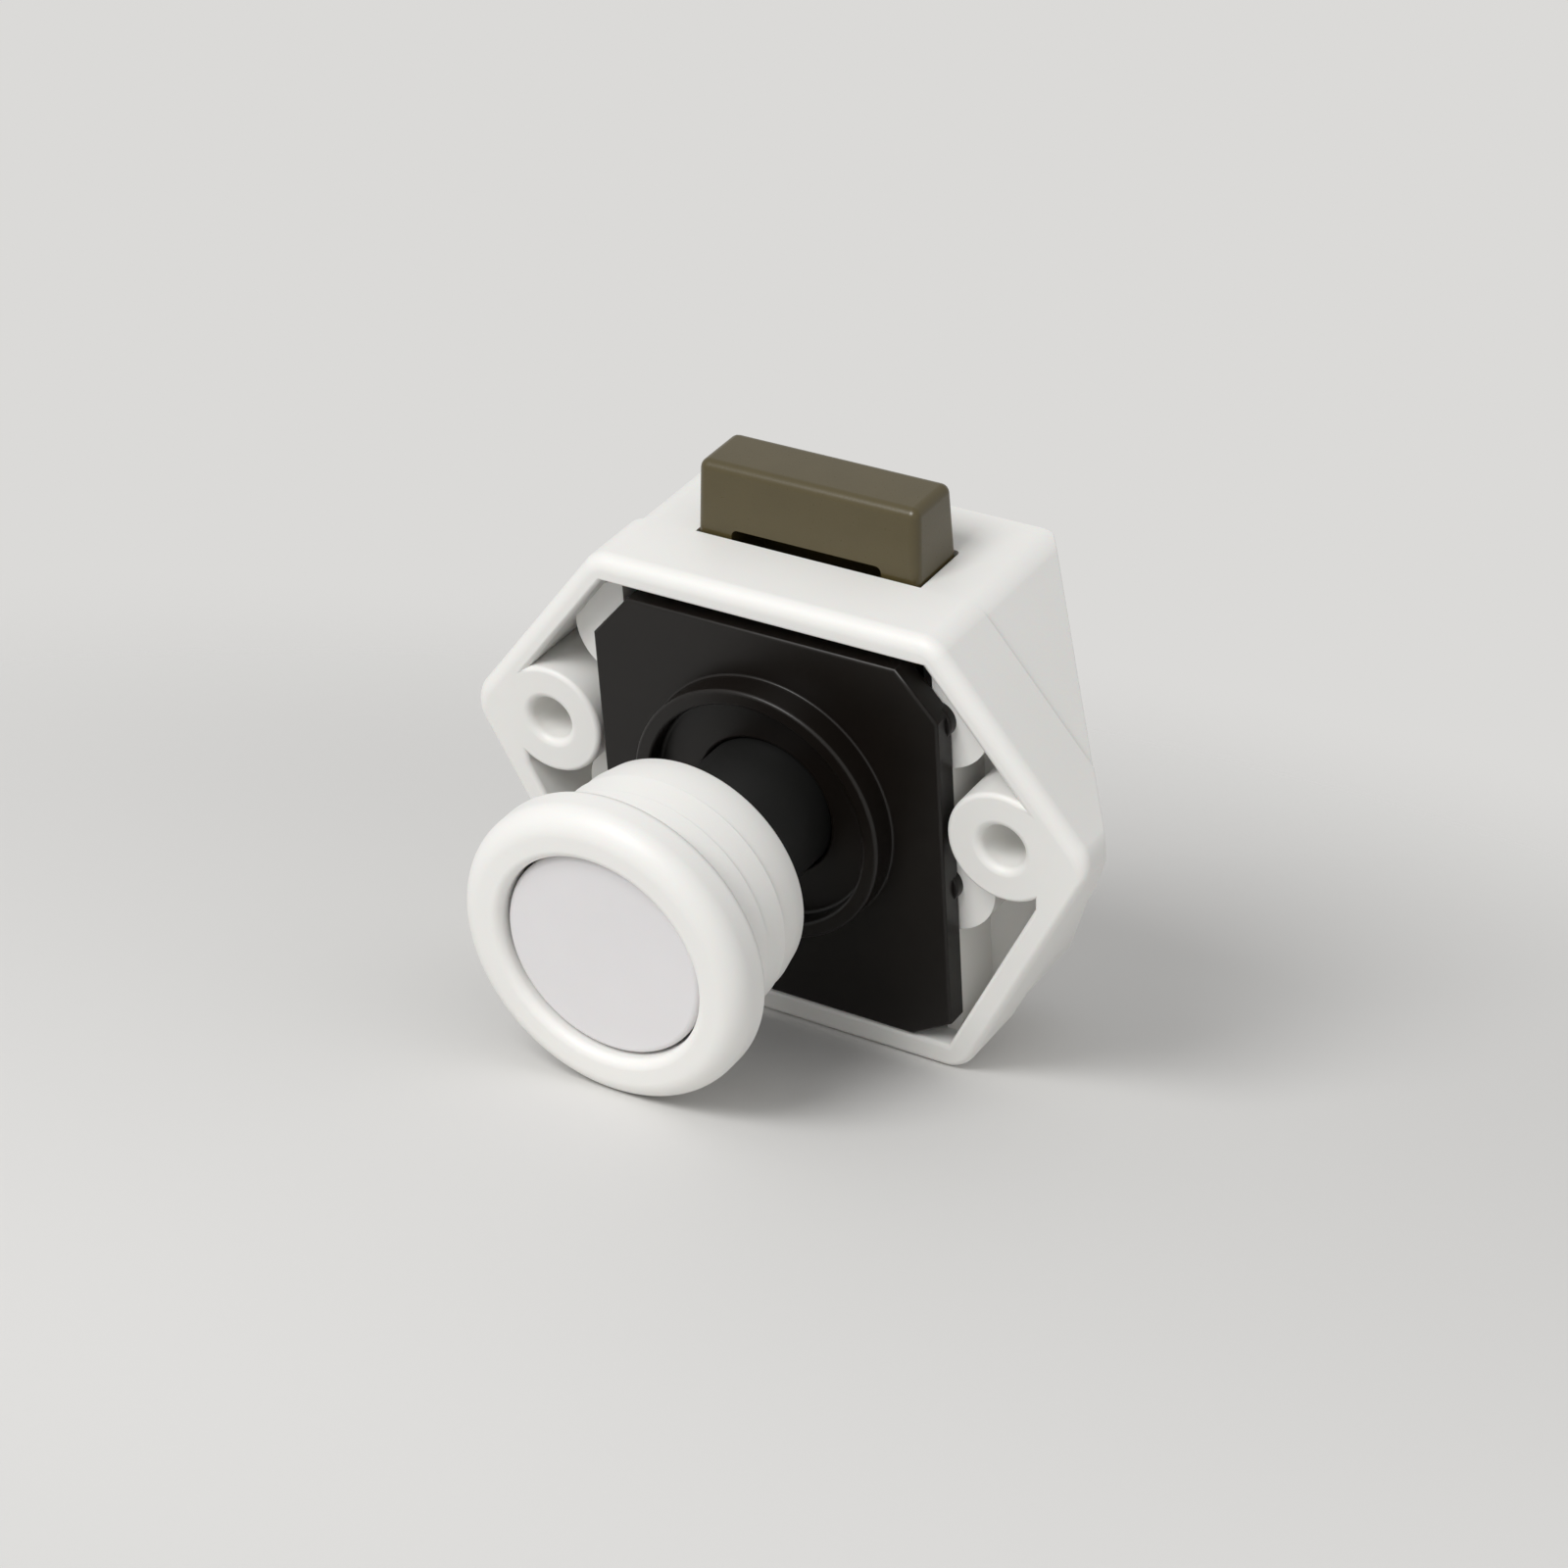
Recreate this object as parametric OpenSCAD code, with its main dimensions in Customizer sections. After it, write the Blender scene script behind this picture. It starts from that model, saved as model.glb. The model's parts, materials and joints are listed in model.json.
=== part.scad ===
// Pushbutton latch for a drawer or cupboard door, shown locked: button flush, bolt out.
// Origin on the button's axis in the plane of the case's rim, which lies against the door.
// X is across the case, Y runs back from the door into the case, Z is the way the bolt points.

/* [Case] */
// Half width of the opening at the side corners
case_half_w = 30.4; // [29:0.1:36]
// Half width of the opening along its top edge
top_half_w = 16.8; // [16.5:0.1:20]
// Half width of the opening along its bottom edge
low_half_w = 17.8; // [16.5:0.1:20]
// Height of the opening above the button's axis
case_top = 18.9; // [18.5:0.1:24]
// Depth of the opening below the button's axis
case_bottom = 21.8; // [19:0.1:28]
// Height of the side corners and the screws above the button's axis
side_z = 2; // [-1:0.5:3]
// Depth of the whole case
case_d = 23; // [22:0.5:28]
// Depth of the thick rim
rim_d = 8.1; // [7:0.1:10]
// Thickness of the rim
rim_wall = 2.5; // [2.3:0.1:3.2]
// Thickness of the rear body's walls
body_wall = 2.1; // [1.5:0.1:2.3]
// Depth of the pockets beside the bosses
pocket_d = 8.5; // [6:0.1:9]
// Thickness of the webs behind those pockets
web_t = 1.8; // [1.2:0.1:2.4]
// Thickness of the walls that close the chamber's sides
chamber_wall = 1.6; // [1.2:0.1:2]
// Radius of the rim's corners
corner_r = 3; // [2.2:0.2:4]
// Rounding of the rim's front edge
rim_edge_r = 1.6; // [0.6:0.2:2]
// Depth of the side corners, where the sloped wings start
wing_front = 3; // [2:0.5:6]
// Half width of the rear face, where the sloped wings end
rear_half_w = 17.5; // [17:0.1:22]

/* [Screw bosses] */
// Distance between the two screws
screw_spacing = 48.5; // [47:0.1:54]
// Radius of the screw holes
screw_r = 2.2; // [1.6:0.1:2.6]
// Radius of the bosses
boss_r = 5.6; // [4.8:0.1:5.8]
// Radius of the recess for a screw's head
head_r = 4.2; // [3.4:0.1:4.4]
// Material between a screw's head and the door
seat_d = 5; // [3:0.5:7]

/* [Cover plate] */
// Thickness of the plate
plate_t = 2.6; // [1.8:0.2:3]
// Half width of the plate
plate_half_w = 17.9; // [17:0.1:18.4]
// Gap above the plate
plate_gap = 1.1; // [0.4:0.1:3]
// Width of the cut corners
plate_cut_w = 3.9; // [3:0.1:5]
// Height of the cut corners
plate_cut_h = 4.2; // [3:0.1:6]
// Radius of the collar, a close fit in the door's hole
collar_r = 13; // [11:0.25:14]
// Height of the collar above the plate
collar_h = 2.8; // [2:0.1:5]
// Wall of the collar
collar_wall = 1.6; // [1:0.1:2.4]
// Height of the collar's floor above the plate
collar_floor = 0.9; // [0.4:0.1:1.6]
// Width of the low step round the collar
step_w = 1.2; // [0.6:0.1:2]
// Height of the low step round the collar
step_h = 1; // [0.4:0.1:1.6]
// Radius of the small lugs that hold the plate on its posts
lug_r = 1.8; // [1.5:0.1:2]
// Height of the upper lugs
lug_upper_z = 12.2; // [10:0.2:13]
// Height of the lower lugs
lug_lower_z = -5.2; // [-9:0.2:-5]
// Radius of the posts under the lugs
post_r = 5.1; // [3:0.1:5.4]
// Radius of the pins on the posts
pin_r = 0.8; // [0.5:0.1:1]

/* [Rosette] */
// Thickness of the door
door_t = 23.8; // [16:0.1:30]
// Radius of the ring that shows on the door
ring_r = 14.7; // [14.4:0.1:18]
// Thickness of that ring
ring_t = 4.8; // [3.5:0.1:6]
// Rounding of the ring's outer front edge
ring_round = 2.3; // [1:0.1:2.4]
// Rounding of the ring's inner lip
lip_round = 0.9; // [0.3:0.1:1]
// Wall of the sleeve inside the door
sleeve_wall = 1.9; // [1.4:0.1:2.2]
// Length of the sleeve
sleeve_len = 10.8; // [9:0.1:13]
// Height of the sleeve's ridges
ridge_h = 0.5; // [0.3:0.1:0.8]
// Number of ridges
ridge_count = 3; // [2:1:4]

/* [Button] */
// Radius of the button
button_r = 10; // [9.5:0.05:11]
// Length of the button
button_len = 12; // [11:0.5:13]
// Wall of the button
button_wall = 1.6; // [1.2:0.1:2]
// How far the button's face lies below the ring's front
button_recess = 1; // [0.2:0.1:1.6]
// Rounding of the button's edge
button_round = 0.6; // [0.2:0.1:1]

/* [Rod] */
// Radius of the stem
stem_r = 6.9; // [6:0.1:7.2]
// Radius of the spindle inside the button
spindle_r = 3.5; // [2.5:0.1:4]
// Radius of the side pegs
peg_r = 1.6; // [1.2:0.1:1.8]
// Depth of the heart-shaped track
track_depth = 1.4; // [0.8:0.1:1.5]

/* [Bolt] */
// Half width of the bolt
bolt_half_w = 11.7; // [11:0.1:12.4]
// Thickness of the bolt
bolt_t = 7.2; // [6:0.1:8]
// How far the bolt stands out of the case
bolt_out = 7.2; // [5:0.1:7.3]
// Half width of the notch in the bolt's front
notch_half_w = 7.9; // [6:0.1:9]
// Height of the notch above the case
notch_show = 1.1; // [0.5:0.1:2]
// Material behind the notch
notch_back = 1.8; // [1.2:0.1:3]

/* [Travel] */
// How far the button comes out
button_out = 9; // [8:0.1:9]
// How far the button can be pushed past flush
button_in = 1.5; // [1:0.1:1.6]
// How far the bolt draws back when the button comes out
bolt_travel = 7.6; // [7.4:0.1:8]

/* [Spring and follower] */
// Outer radius of the return spring
spring_r = 2.5; // [2.2:0.1:2.6]
// Radius of the spring's wire
spring_wire_r = 0.35; // [0.25:0.05:0.4]
// Turns of the spring
spring_turns = 7; // [5:1:9]
// Radius of the follower's wire
wire_r = 0.6; // [0.4:0.05:0.7]

/* [Hidden] */
$fn = 64;

white = "#f2f1ee";
cap_white = "#eeeef2";
black = "#232322";
olive = "#8b8468";
steel = "#b9bcbe";

over = 1;
arc_steps = 6;
fit_gap = 0.05;
stem_gap = 0.1;
slide_gap = 0.2;
button_gap = 0.25;
plate_side_gap = 0.2;
peg_gap = 0.15;
running_gap = 0.4;
wire_gap = 0.3;

opening = [
    [case_half_w, side_z], [top_half_w, case_top], [-top_half_w, case_top],
    [-case_half_w, side_z], [-low_half_w, -case_bottom], [low_half_w, -case_bottom]
];
body_outline = grown(opening, body_wall);
body_corner_r = corner_r - rim_wall + body_wall;
body_top = case_top + body_wall;
rear_in = case_d - body_wall;
rim_half_w = grown(opening, rim_wall)[0].x;
wing_slope = (rim_half_w - rear_half_w) / (case_d - wing_front);
wing_wall = body_wall * sqrt(1 + pow(wing_slope, 2));
screw_x = screw_spacing / 2;
hollow_half_w = screw_x + boss_r / 2;
chamber_half_w = plate_half_w - chamber_wall;

plate_top = case_top - plate_gap;
plate_bottom = -case_bottom + plate_side_gap;
lug_inset = 1.05;
lug_t = 1;
pin_skin = 1.2;

face_y = -door_t - ring_t + button_recess;
shoulder_y = face_y + button_len;
bore_r = button_r + button_gap;
sleeve_r = bore_r + sleeve_wall;
ring_heel = 1;
ridge_face = 0.2;
hub_wall = 2;

bolt_front = rim_d + running_gap;
bolt_top = body_top + bolt_out;
bolt_ratio = bolt_travel / button_out;
bolt_rise = bolt_ratio * button_in;
cheek_front = plate_t + running_gap;
cheek_back = rear_in - slide_gap;
cheek_top = case_top - bolt_rise - running_gap;
bridge_z = stem_r + bolt_travel + running_gap;

tail_front = plate_t + button_out + running_gap;
tail_back = rear_in - button_in - running_gap;
tail_half_h = 5;
tail_side = 0.6;
tail_half_w = stem_r + tail_side;
peg_y = (tail_front + tail_back) / 2;
cheek_in = tail_half_w + running_gap;
slot_r = peg_r + peg_gap;
slot_wall = 1.3;
slot_low = [peg_y + button_in, -bolt_rise];
slot_high = [peg_y - button_out, bolt_travel];
cheek_bottom = slot_low.y - slot_r - slot_wall;

spring_reach = 4;
spring_bore_r = spring_r + slide_gap;
spring_front = tail_front - spring_reach;
spigot_r = spring_r - 2 * spring_wire_r - slide_gap;
spigot_len = 2;

rib_t = 1.6;
rib_front = bolt_front;
rib_bottom = cheek_bottom - bolt_travel;

track_half_w = wire_r + wire_gap;
track_entry = 3;
heart_half_w = 1.3;
tip_stop = 0.1;
tip_y = tail_back - button_out - tip_stop;
pivot_y = rear_in - 2 * wire_r - wire_gap;
tip_top = -tail_half_h - wire_gap;
arm_z = tip_top - 2 * wire_r;
shelf_top = arm_z - wire_r - wire_gap;
shelf_h = 4;
shelf_half_w = 3;
shelf_reach = 2.2;
shelf_front = pivot_y - shelf_reach;
flat_front = tip_y - button_in - 4 * wire_r;

// Outward normal of the edge that leaves point i of an anticlockwise outline
function edge_normal(p, i) =
    let (d = p[(i + 1) % len(p)] - p[i % len(p)]) [d.y, -d.x] / norm(d);

// The outline with every edge moved outward by g
function grown(p, g) = [
    for (i = [0 : len(p) - 1])
        let (a = edge_normal(p, i + len(p) - 1), b = edge_normal(p, i))
            p[i] + g * (a + b) / (1 + a * b)
];

// The outline with every corner turned into an arc of radius r
function rounded(p, r) =
    let (c = grown(p, -r)) [
        for (i = [0 : len(p) - 1])
            let (a = edge_normal(p, i + len(p) - 1), b = edge_normal(p, i), turn = acos(a * b))
                for (k = [0 : arc_steps])
                    let (s = turn * k / arc_steps)
                        c[i] + r * (sin(turn - s) * a + sin(s) * b) / sin(turn)
    ];

// Points of a quarter arc from one angle to the next
function arc(centre, r, from, to) = [
    for (k = [0 : arc_steps])
        let (s = from + (to - from) * k / arc_steps) centre + r * [cos(s), sin(s)]
];

// An outline drawn in X and Z, carried from one depth to another
module along_y(from, to) {
    translate([0, to, 0]) rotate([90, 0, 0]) linear_extrude(to - from) children();
}

// An outline drawn in Y and Z, carried across the case
module along_x(from, to) {
    translate([from, 0, 0]) rotate([90, 0, 90]) linear_extrude(to - from) children();
}

// An outline drawn in X and Y, carried upward
module along_z(from, to) {
    translate([0, 0, from]) linear_extrude(to - from) children();
}

// A profile drawn as radius and depth, turned about the button's axis
module turned() {
    rotate([-90, 0, 0]) rotate_extrude() children();
}

// A round bar along the button's axis
module bar(r, from, to) {
    translate([0, from, 0]) rotate([-90, 0, 0]) cylinder(r = r, h = to - from);
}

module both_sides() {
    children();
    mirror([1, 0, 0]) children();
}

module at_lugs() {
    both_sides() for (z = [lug_upper_z, lug_lower_z]) translate([plate_half_w - lug_inset, 0, z])
        children();
}

// Corner of the rim with its front edge rounded
module rim_corner() {
    rotate([-90, 0, 0]) rotate_extrude($fn = 32) polygon(concat(
        [[0, 0]],
        arc([corner_r - rim_edge_r, rim_edge_r], rim_edge_r, -90, 0),
        [[corner_r, rim_d], [0, rim_d]]
    ));
}

// Plan of the sloped wings, at a distance inside their outer faces
module wing_plan(inset, front, back) {
    function half_w(y) = rim_half_w - inset - wing_slope * (y - wing_front);
    polygon([
        [-half_w(front), front], [half_w(front), front], [half_w(back), back], [-half_w(back), back]
    ]);
}

module case_solid() {
    intersection() {
        union() {
            hull() for (c = grown(opening, rim_wall - corner_r)) translate([c.x, 0, c.y]) rim_corner();
            along_y(rim_d - over, case_d) polygon(rounded(body_outline, body_corner_r));
        }
        along_z(-case_bottom - rim_wall - over, case_top + rim_wall + over)
            wing_plan(0, -over, case_d);
    }
}

// A width of the opening, carried from one depth to another
module opening_part(half_w, from, to) {
    intersection() {
        along_y(from, to) polygon(opening);
        translate([-half_w, from, -case_bottom - over])
            cube([2 * half_w, to - from, case_top + case_bottom + 2 * over]);
    }
}

// Shallow pockets round the plate and the bosses, and the chamber behind the plate;
// the side corners outside the bosses stay solid
module case_hollow() {
    intersection() {
        union() {
            opening_part(hollow_half_w, -over, pocket_d);
            opening_part(chamber_half_w, -over, rear_in);
        }
        along_z(-case_bottom - over, case_top + over) wing_plan(wing_wall, -over, rear_in);
    }
}

// Hollows open to the back, behind the pockets
module case_cores() {
    difference() {
        opening_part(hollow_half_w, pocket_d + web_t, case_d + over);
        opening_part(plate_half_w, pocket_d, case_d + 2 * over);
    }
}

// Everything that stands inside the case
module case_fittings() {
    both_sides() {
        translate([screw_x, 0, side_z]) bar(boss_r, 0, case_d);
        translate([chamber_half_w, plate_t, -case_bottom - body_wall / 2])
            cube([chamber_wall, rear_in - plate_t, case_top + case_bottom + body_wall]);
        translate([bolt_half_w + slide_gap, rib_front, rib_bottom])
            cube([rib_t, case_d - rib_front, case_top + body_wall / 2 - rib_bottom]);
    }
    at_lugs() {
        intersection() {
            bar(post_r, plate_t, pocket_d + web_t / 2);
            translate([lug_inset - chamber_wall, 0, -post_r]) cube([2 * post_r, case_d, 2 * post_r]);
        }
        bar(pin_r, pin_skin + fit_gap, plate_t + over);
    }
    bar(spigot_r, rear_in - spigot_len, case_d);
    translate([-shelf_half_w, shelf_front, shelf_top - shelf_h])
        cube([2 * shelf_half_w, case_d - shelf_front, shelf_h]);
}

module housing() {
    color(white) difference() {
        union() {
            difference() {
                case_solid();
                case_hollow();
                case_cores();
            }
            intersection() {
                case_solid();
                case_fittings();
            }
        }
        both_sides() translate([screw_x, 0, side_z]) {
            bar(screw_r, -over, case_d + over);
            bar(head_r, seat_d, case_d + over);
        }
        translate([-bolt_half_w - slide_gap, bolt_front - slide_gap, case_top - over])
            cube([2 * (bolt_half_w + slide_gap), bolt_t + 2 * slide_gap, body_wall + 2 * over]);
        translate([0, pivot_y, shelf_top - shelf_h - over])
            cylinder(r = wire_r + fit_gap, h = shelf_h + 2 * over);
    }
}

module cover_plate() {
    w = plate_half_w;
    cut_w = w - plate_cut_w;
    color(black) difference() {
        union() {
            along_y(0, plate_t) polygon([
                [w, plate_bottom + plate_cut_h], [w, plate_top - plate_cut_h],
                [cut_w, plate_top], [-cut_w, plate_top],
                [-w, plate_top - plate_cut_h], [-w, plate_bottom + plate_cut_h],
                [-cut_w, plate_bottom], [cut_w, plate_bottom]
            ]);
            at_lugs() bar(lug_r, plate_t - lug_t, plate_t);
            bar(collar_r, -collar_h, over);
            bar(collar_r + step_w, -step_h, over);
        }
        bar(collar_r - collar_wall, -collar_h - over, -collar_floor);
        bar(stem_r + stem_gap, -collar_h - over, plate_t + over);
        at_lugs() bar(pin_r + fit_gap, pin_skin, plate_t + over);
    }
}

module rosette() {
    front = -door_t - ring_t;
    back = -door_t;
    pitch = (sleeve_len - 2 * ring_heel) / ridge_count;
    rear = back + sleeve_len;
    color(white) turned() polygon(concat(
        arc([bore_r + lip_round, front + lip_round], lip_round, 180, 270),
        arc([ring_r - ring_round, front + ring_round], ring_round, -90, 0),
        arc([ring_r - ring_heel, back - ring_heel], ring_heel, 0, 90),
        [[sleeve_r, back], [sleeve_r, back + ring_heel]],
        [
            for (k = [0 : ridge_count - 1], p = [[ridge_h, ridge_face], [0, 1]])
                [sleeve_r + p[0], back + ring_heel + (k + p[1]) * pitch]
        ],
        [[sleeve_r - ring_heel / 2, rear], [bore_r, rear]]
    ));
}

module button() {
    hub_r = spindle_r + hub_wall;
    floor_y = face_y + button_wall;
    skirt_r = button_r - button_wall;
    color(cap_white) turned() polygon(concat(
        [[0, face_y]],
        arc([button_r - button_round, face_y + button_round], button_round, -90, 0),
        [
            [button_r, shoulder_y], [skirt_r, shoulder_y], [skirt_r, floor_y + button_wall],
            [hub_r, floor_y + button_wall], [hub_r, shoulder_y],
            [spindle_r + fit_gap, shoulder_y], [spindle_r + fit_gap, floor_y], [0, floor_y]
        ]
    ));
}

// Track of the follower's tip: a straight way in, then a loop round a heart
module heart_track() {
    heart_w = heart_half_w;
    loop_w = heart_w + 2 * track_half_w;
    loop_front = tip_y - button_in - track_half_w;
    loop_back = tail_back - track_entry;
    heart_front = tip_y - track_half_w / 2;
    notch_y = tip_y + track_half_w;
    difference() {
        polygon([
            [-track_half_w, tail_back + over], [-track_half_w, loop_back],
            [-loop_w, loop_back - 2 * track_half_w], [-loop_w, notch_y],
            [-track_half_w, loop_front], [track_half_w, loop_front],
            [loop_w, notch_y], [loop_w, loop_back - 2 * track_half_w],
            [track_half_w, loop_back], [track_half_w, tail_back + over]
        ]);
        polygon([
            [0, notch_y], [heart_w, heart_front], [heart_w, notch_y + track_half_w],
            [0, loop_back - 2 * track_half_w], [-heart_w, notch_y + track_half_w],
            [-heart_w, heart_front]
        ]);
    }
}

module push_rod() {
    color(black) difference() {
        union() {
            bar(stem_r, shoulder_y, tail_front + over);
            bar(spindle_r, face_y + button_wall + running_gap, shoulder_y + over);
            translate([-tail_half_w, tail_front, -tail_half_h])
                cube([2 * tail_half_w, tail_back - tail_front, 2 * tail_half_h]);
            both_sides() translate([tail_half_w - over, peg_y, 0]) rotate([0, 90, 0])
                cylinder(r = peg_r, h = bolt_half_w - slide_gap - tail_half_w + over);
        }
        translate([-stem_r, flat_front, -stem_r - over])
            cube([2 * stem_r, tail_back - flat_front, stem_r + over - tail_half_h]);
        bar(spring_bore_r, spring_front, tail_back + over);
        along_z(-tail_half_h - over, -tail_half_h + track_depth) heart_track();
    }
}

// Slot that a peg runs in, drawn in Y and Z
module peg_slot() {
    run = slot_high - slot_low;
    lean = atan2(run.y, run.x);
    polygon(concat(
        arc(slot_high, slot_r, lean - 90, lean + 90),
        arc(slot_low, slot_r, lean + 90, lean + 270)
    ));
}

module latch_bolt() {
    color(olive) difference() {
        union() {
            translate([-bolt_half_w, bolt_front, bridge_z])
                cube([2 * bolt_half_w, bolt_t, bolt_top - bridge_z]);
            both_sides() translate([cheek_in, cheek_front, cheek_bottom])
                cube([bolt_half_w - cheek_in, cheek_back - cheek_front, cheek_top - cheek_bottom]);
        }
        both_sides() along_x(cheek_in - over, bolt_half_w + over) peg_slot();
        translate([-notch_half_w, bolt_front - over, bridge_z - over])
            cube([2 * notch_half_w, bolt_t - notch_back + over, body_top + notch_show - bridge_z + over]);
    }
}

// Ring of points round the spring's wire at a turn of the helix
function wire_ring(turn, mean_r, from, pitch, sides) = [
    for (s = [0 : sides - 1])
        let (a = 360 * s / sides, r = mean_r + spring_wire_r * cos(a))
            [r * cos(360 * turn), from + pitch * turn + spring_wire_r * sin(a), r * sin(360 * turn)]
];

module return_spring() {
    sides = 6;
    steps = 14;
    rings = spring_turns * steps;
    from = spring_front + spring_wire_r + fit_gap;
    pitch = (rear_in - spring_front - 2 * (spring_wire_r + fit_gap)) / spring_turns;
    color(steel) polyhedron(
        points = [
            for (k = [0 : rings])
                each wire_ring(k / steps, spring_r - spring_wire_r, from, pitch, sides)
        ],
        faces = concat(
            [[for (s = [0 : sides - 1]) s]],
            [
                for (k = [0 : rings - 1], s = [0 : sides - 1])
                    let (a = k * sides, n = (s + 1) % sides)
                        [a + s, a + sides + s, a + sides + n, a + n]
            ],
            [[for (s = [sides - 1 : -1 : 0]) rings * sides + s]]
        )
    );
}

module cam_follower() {
    color(steel) {
        translate([0, 0, arm_z]) bar(wire_r, tip_y, pivot_y);
        for (y = [tip_y, pivot_y]) translate([0, y, arm_z]) sphere(wire_r);
        translate([0, tip_y, arm_z]) cylinder(r = wire_r, h = tip_top - arm_z);
        translate([0, pivot_y, shelf_top - shelf_h]) cylinder(r = wire_r, h = arm_z - shelf_top + shelf_h);
    }
}

housing();
cover_plate();
rosette();
button();
push_rod();
latch_bolt();
return_spring();
cam_follower();
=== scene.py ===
import json
import math

import bmesh
import bpy
from mathutils import Matrix, Vector


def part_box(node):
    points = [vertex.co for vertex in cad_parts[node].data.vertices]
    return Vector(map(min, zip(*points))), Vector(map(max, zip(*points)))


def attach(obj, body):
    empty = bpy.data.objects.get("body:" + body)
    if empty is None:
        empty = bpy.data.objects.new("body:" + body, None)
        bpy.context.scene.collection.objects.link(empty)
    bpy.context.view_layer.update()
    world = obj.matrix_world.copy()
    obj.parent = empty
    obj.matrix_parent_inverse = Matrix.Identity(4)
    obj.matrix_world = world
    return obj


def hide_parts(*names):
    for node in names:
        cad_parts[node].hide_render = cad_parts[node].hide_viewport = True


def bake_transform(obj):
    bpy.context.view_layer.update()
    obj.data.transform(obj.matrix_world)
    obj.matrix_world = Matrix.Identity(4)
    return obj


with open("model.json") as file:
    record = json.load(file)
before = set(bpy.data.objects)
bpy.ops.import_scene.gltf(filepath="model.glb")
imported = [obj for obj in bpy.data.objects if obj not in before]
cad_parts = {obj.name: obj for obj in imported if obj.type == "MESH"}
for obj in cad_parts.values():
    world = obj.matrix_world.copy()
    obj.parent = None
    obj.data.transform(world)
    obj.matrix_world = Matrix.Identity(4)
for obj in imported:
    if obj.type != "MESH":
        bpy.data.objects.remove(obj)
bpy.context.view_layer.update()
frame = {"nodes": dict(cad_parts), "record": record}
mm = 0.001
print("frame loaded:", ", ".join(sorted(frame["nodes"])))


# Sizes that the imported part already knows, in millimetres
def nodeBox(name):
    low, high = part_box(name)
    return low / mm, high / mm


mounts = {mount["name"]: mount for mount in frame["record"]["mounts"]}
caseLow, caseHigh = nodeBox("housing")
plateHigh = nodeBox("cover_plate")[1]
ringLow, ringHigh = nodeBox("rosette")
capLow, capHigh = nodeBox("button")
boltLow, boltHigh = nodeBox("latch_bolt")
rodLow, rodHigh = nodeBox("push_rod")
springLow, springHigh = nodeBox("return_spring")
screwX = mounts["case_screws"]["dims"]["spacing_x_mm"] / 2
screwRadius = mounts["case_screws"]["dims"]["hole_r_mm"]
screwZ = mounts["case_screws"]["pos_m"][2] / mm
sides = (-1, 1)


# Small tools for working on one piece at a time, with their distances in millimetres
near = 0.01  # places closer than this count as one
weld = 0.001  # points closer than this become one
past = 1  # a cutter goes this far past what it cuts


def makeActive(piece):
    bpy.ops.object.select_all(action="DESELECT")
    piece.select_set(True)
    bpy.context.view_layer.objects.active = piece


def settle(name):  # a new primitive gets its name, and its place goes into its mesh
    piece = bpy.context.active_object
    piece.name = name
    piece.data.name = name
    bpy.ops.object.transform_apply(location=True, rotation=True, scale=True)
    return piece


def addBlock(name, low, high, tilt=0.0):
    bpy.ops.object.select_all(action="DESELECT")
    low, high = Vector(low) * mm, Vector(high) * mm
    bpy.ops.mesh.primitive_cube_add(
        size=1, location=(low + high) / 2, rotation=(tilt, 0, 0), scale=high - low
    )
    return settle(name)


def addBar(name, radius, start, end, steps=96):  # round bar between two points
    bpy.ops.object.select_all(action="DESELECT")
    start, end = Vector(start) * mm, Vector(end) * mm
    run = end - start
    bpy.ops.mesh.primitive_cylinder_add(
        vertices=steps, radius=radius * mm, depth=run.length,
        location=(start + end) / 2, rotation=run.to_track_quat("Z", "Y").to_euler(),
    )
    return settle(name)


def addRod(name, radius, x, z, front, back, steps=96):  # round bar along the button's axis
    return addBar(name, radius, (x, front, z), (x, back, z), steps)


def pick(piece, kind, test):
    makeActive(piece)
    bpy.ops.object.mode_set(mode="EDIT")
    bpy.ops.mesh.select_mode(type=kind)
    bpy.ops.mesh.select_all(action="DESELECT")
    mesh = bmesh.from_edit_mesh(piece.data)
    mesh.normal_update()
    parts = {"VERT": mesh.verts, "EDGE": mesh.edges, "FACE": mesh.faces}[kind]
    for part in parts:
        if test(part):
            part.select_set(True)
    mesh.select_flush_mode()
    bmesh.update_edit_mesh(piece.data)


def leaveEdit():
    bpy.ops.object.mode_set(mode="OBJECT")


def slicePiece(piece, point, normal):  # what lies beyond the plane goes, and the cut is closed
    pick(piece, "FACE", lambda face: True)
    bpy.ops.mesh.bisect(
        plane_co=Vector(point) * mm, plane_no=normal, use_fill=True, clear_outer=True, threshold=1e-7
    )
    leaveEdit()


def soften(piece, test, width, segments=3, clamp=True):
    pick(piece, "EDGE", test)
    bpy.ops.mesh.bevel(offset=width * mm, segments=segments, affect="EDGES", clamp_overlap=clamp)
    leaveEdit()


def combine(piece, other, operation):
    makeActive(piece)
    cut = piece.modifiers.new("combine", "BOOLEAN")
    cut.operation = operation
    cut.solver = "EXACT"
    cut.object = other
    bpy.ops.object.modifier_apply(modifier=cut.name)
    bpy.data.objects.remove(other)


def tidyMesh(piece, merge=0.002):  # slivers shorter than this many millimetres close up
    pick(piece, "FACE", lambda face: True)
    bpy.ops.mesh.remove_doubles(threshold=merge * mm)
    bpy.ops.mesh.dissolve_limited(angle_limit=math.radians(0.5))
    leaveEdit()


def finishShading(piece, angle=35):
    makeActive(piece)
    bpy.ops.object.shade_smooth_by_angle(angle=math.radians(angle))
    weigh = piece.modifiers.new("flat faces stay flat", "WEIGHTED_NORMAL")
    weigh.keep_sharp = True
    bpy.ops.object.modifier_apply(modifier=weigh.name)


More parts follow.
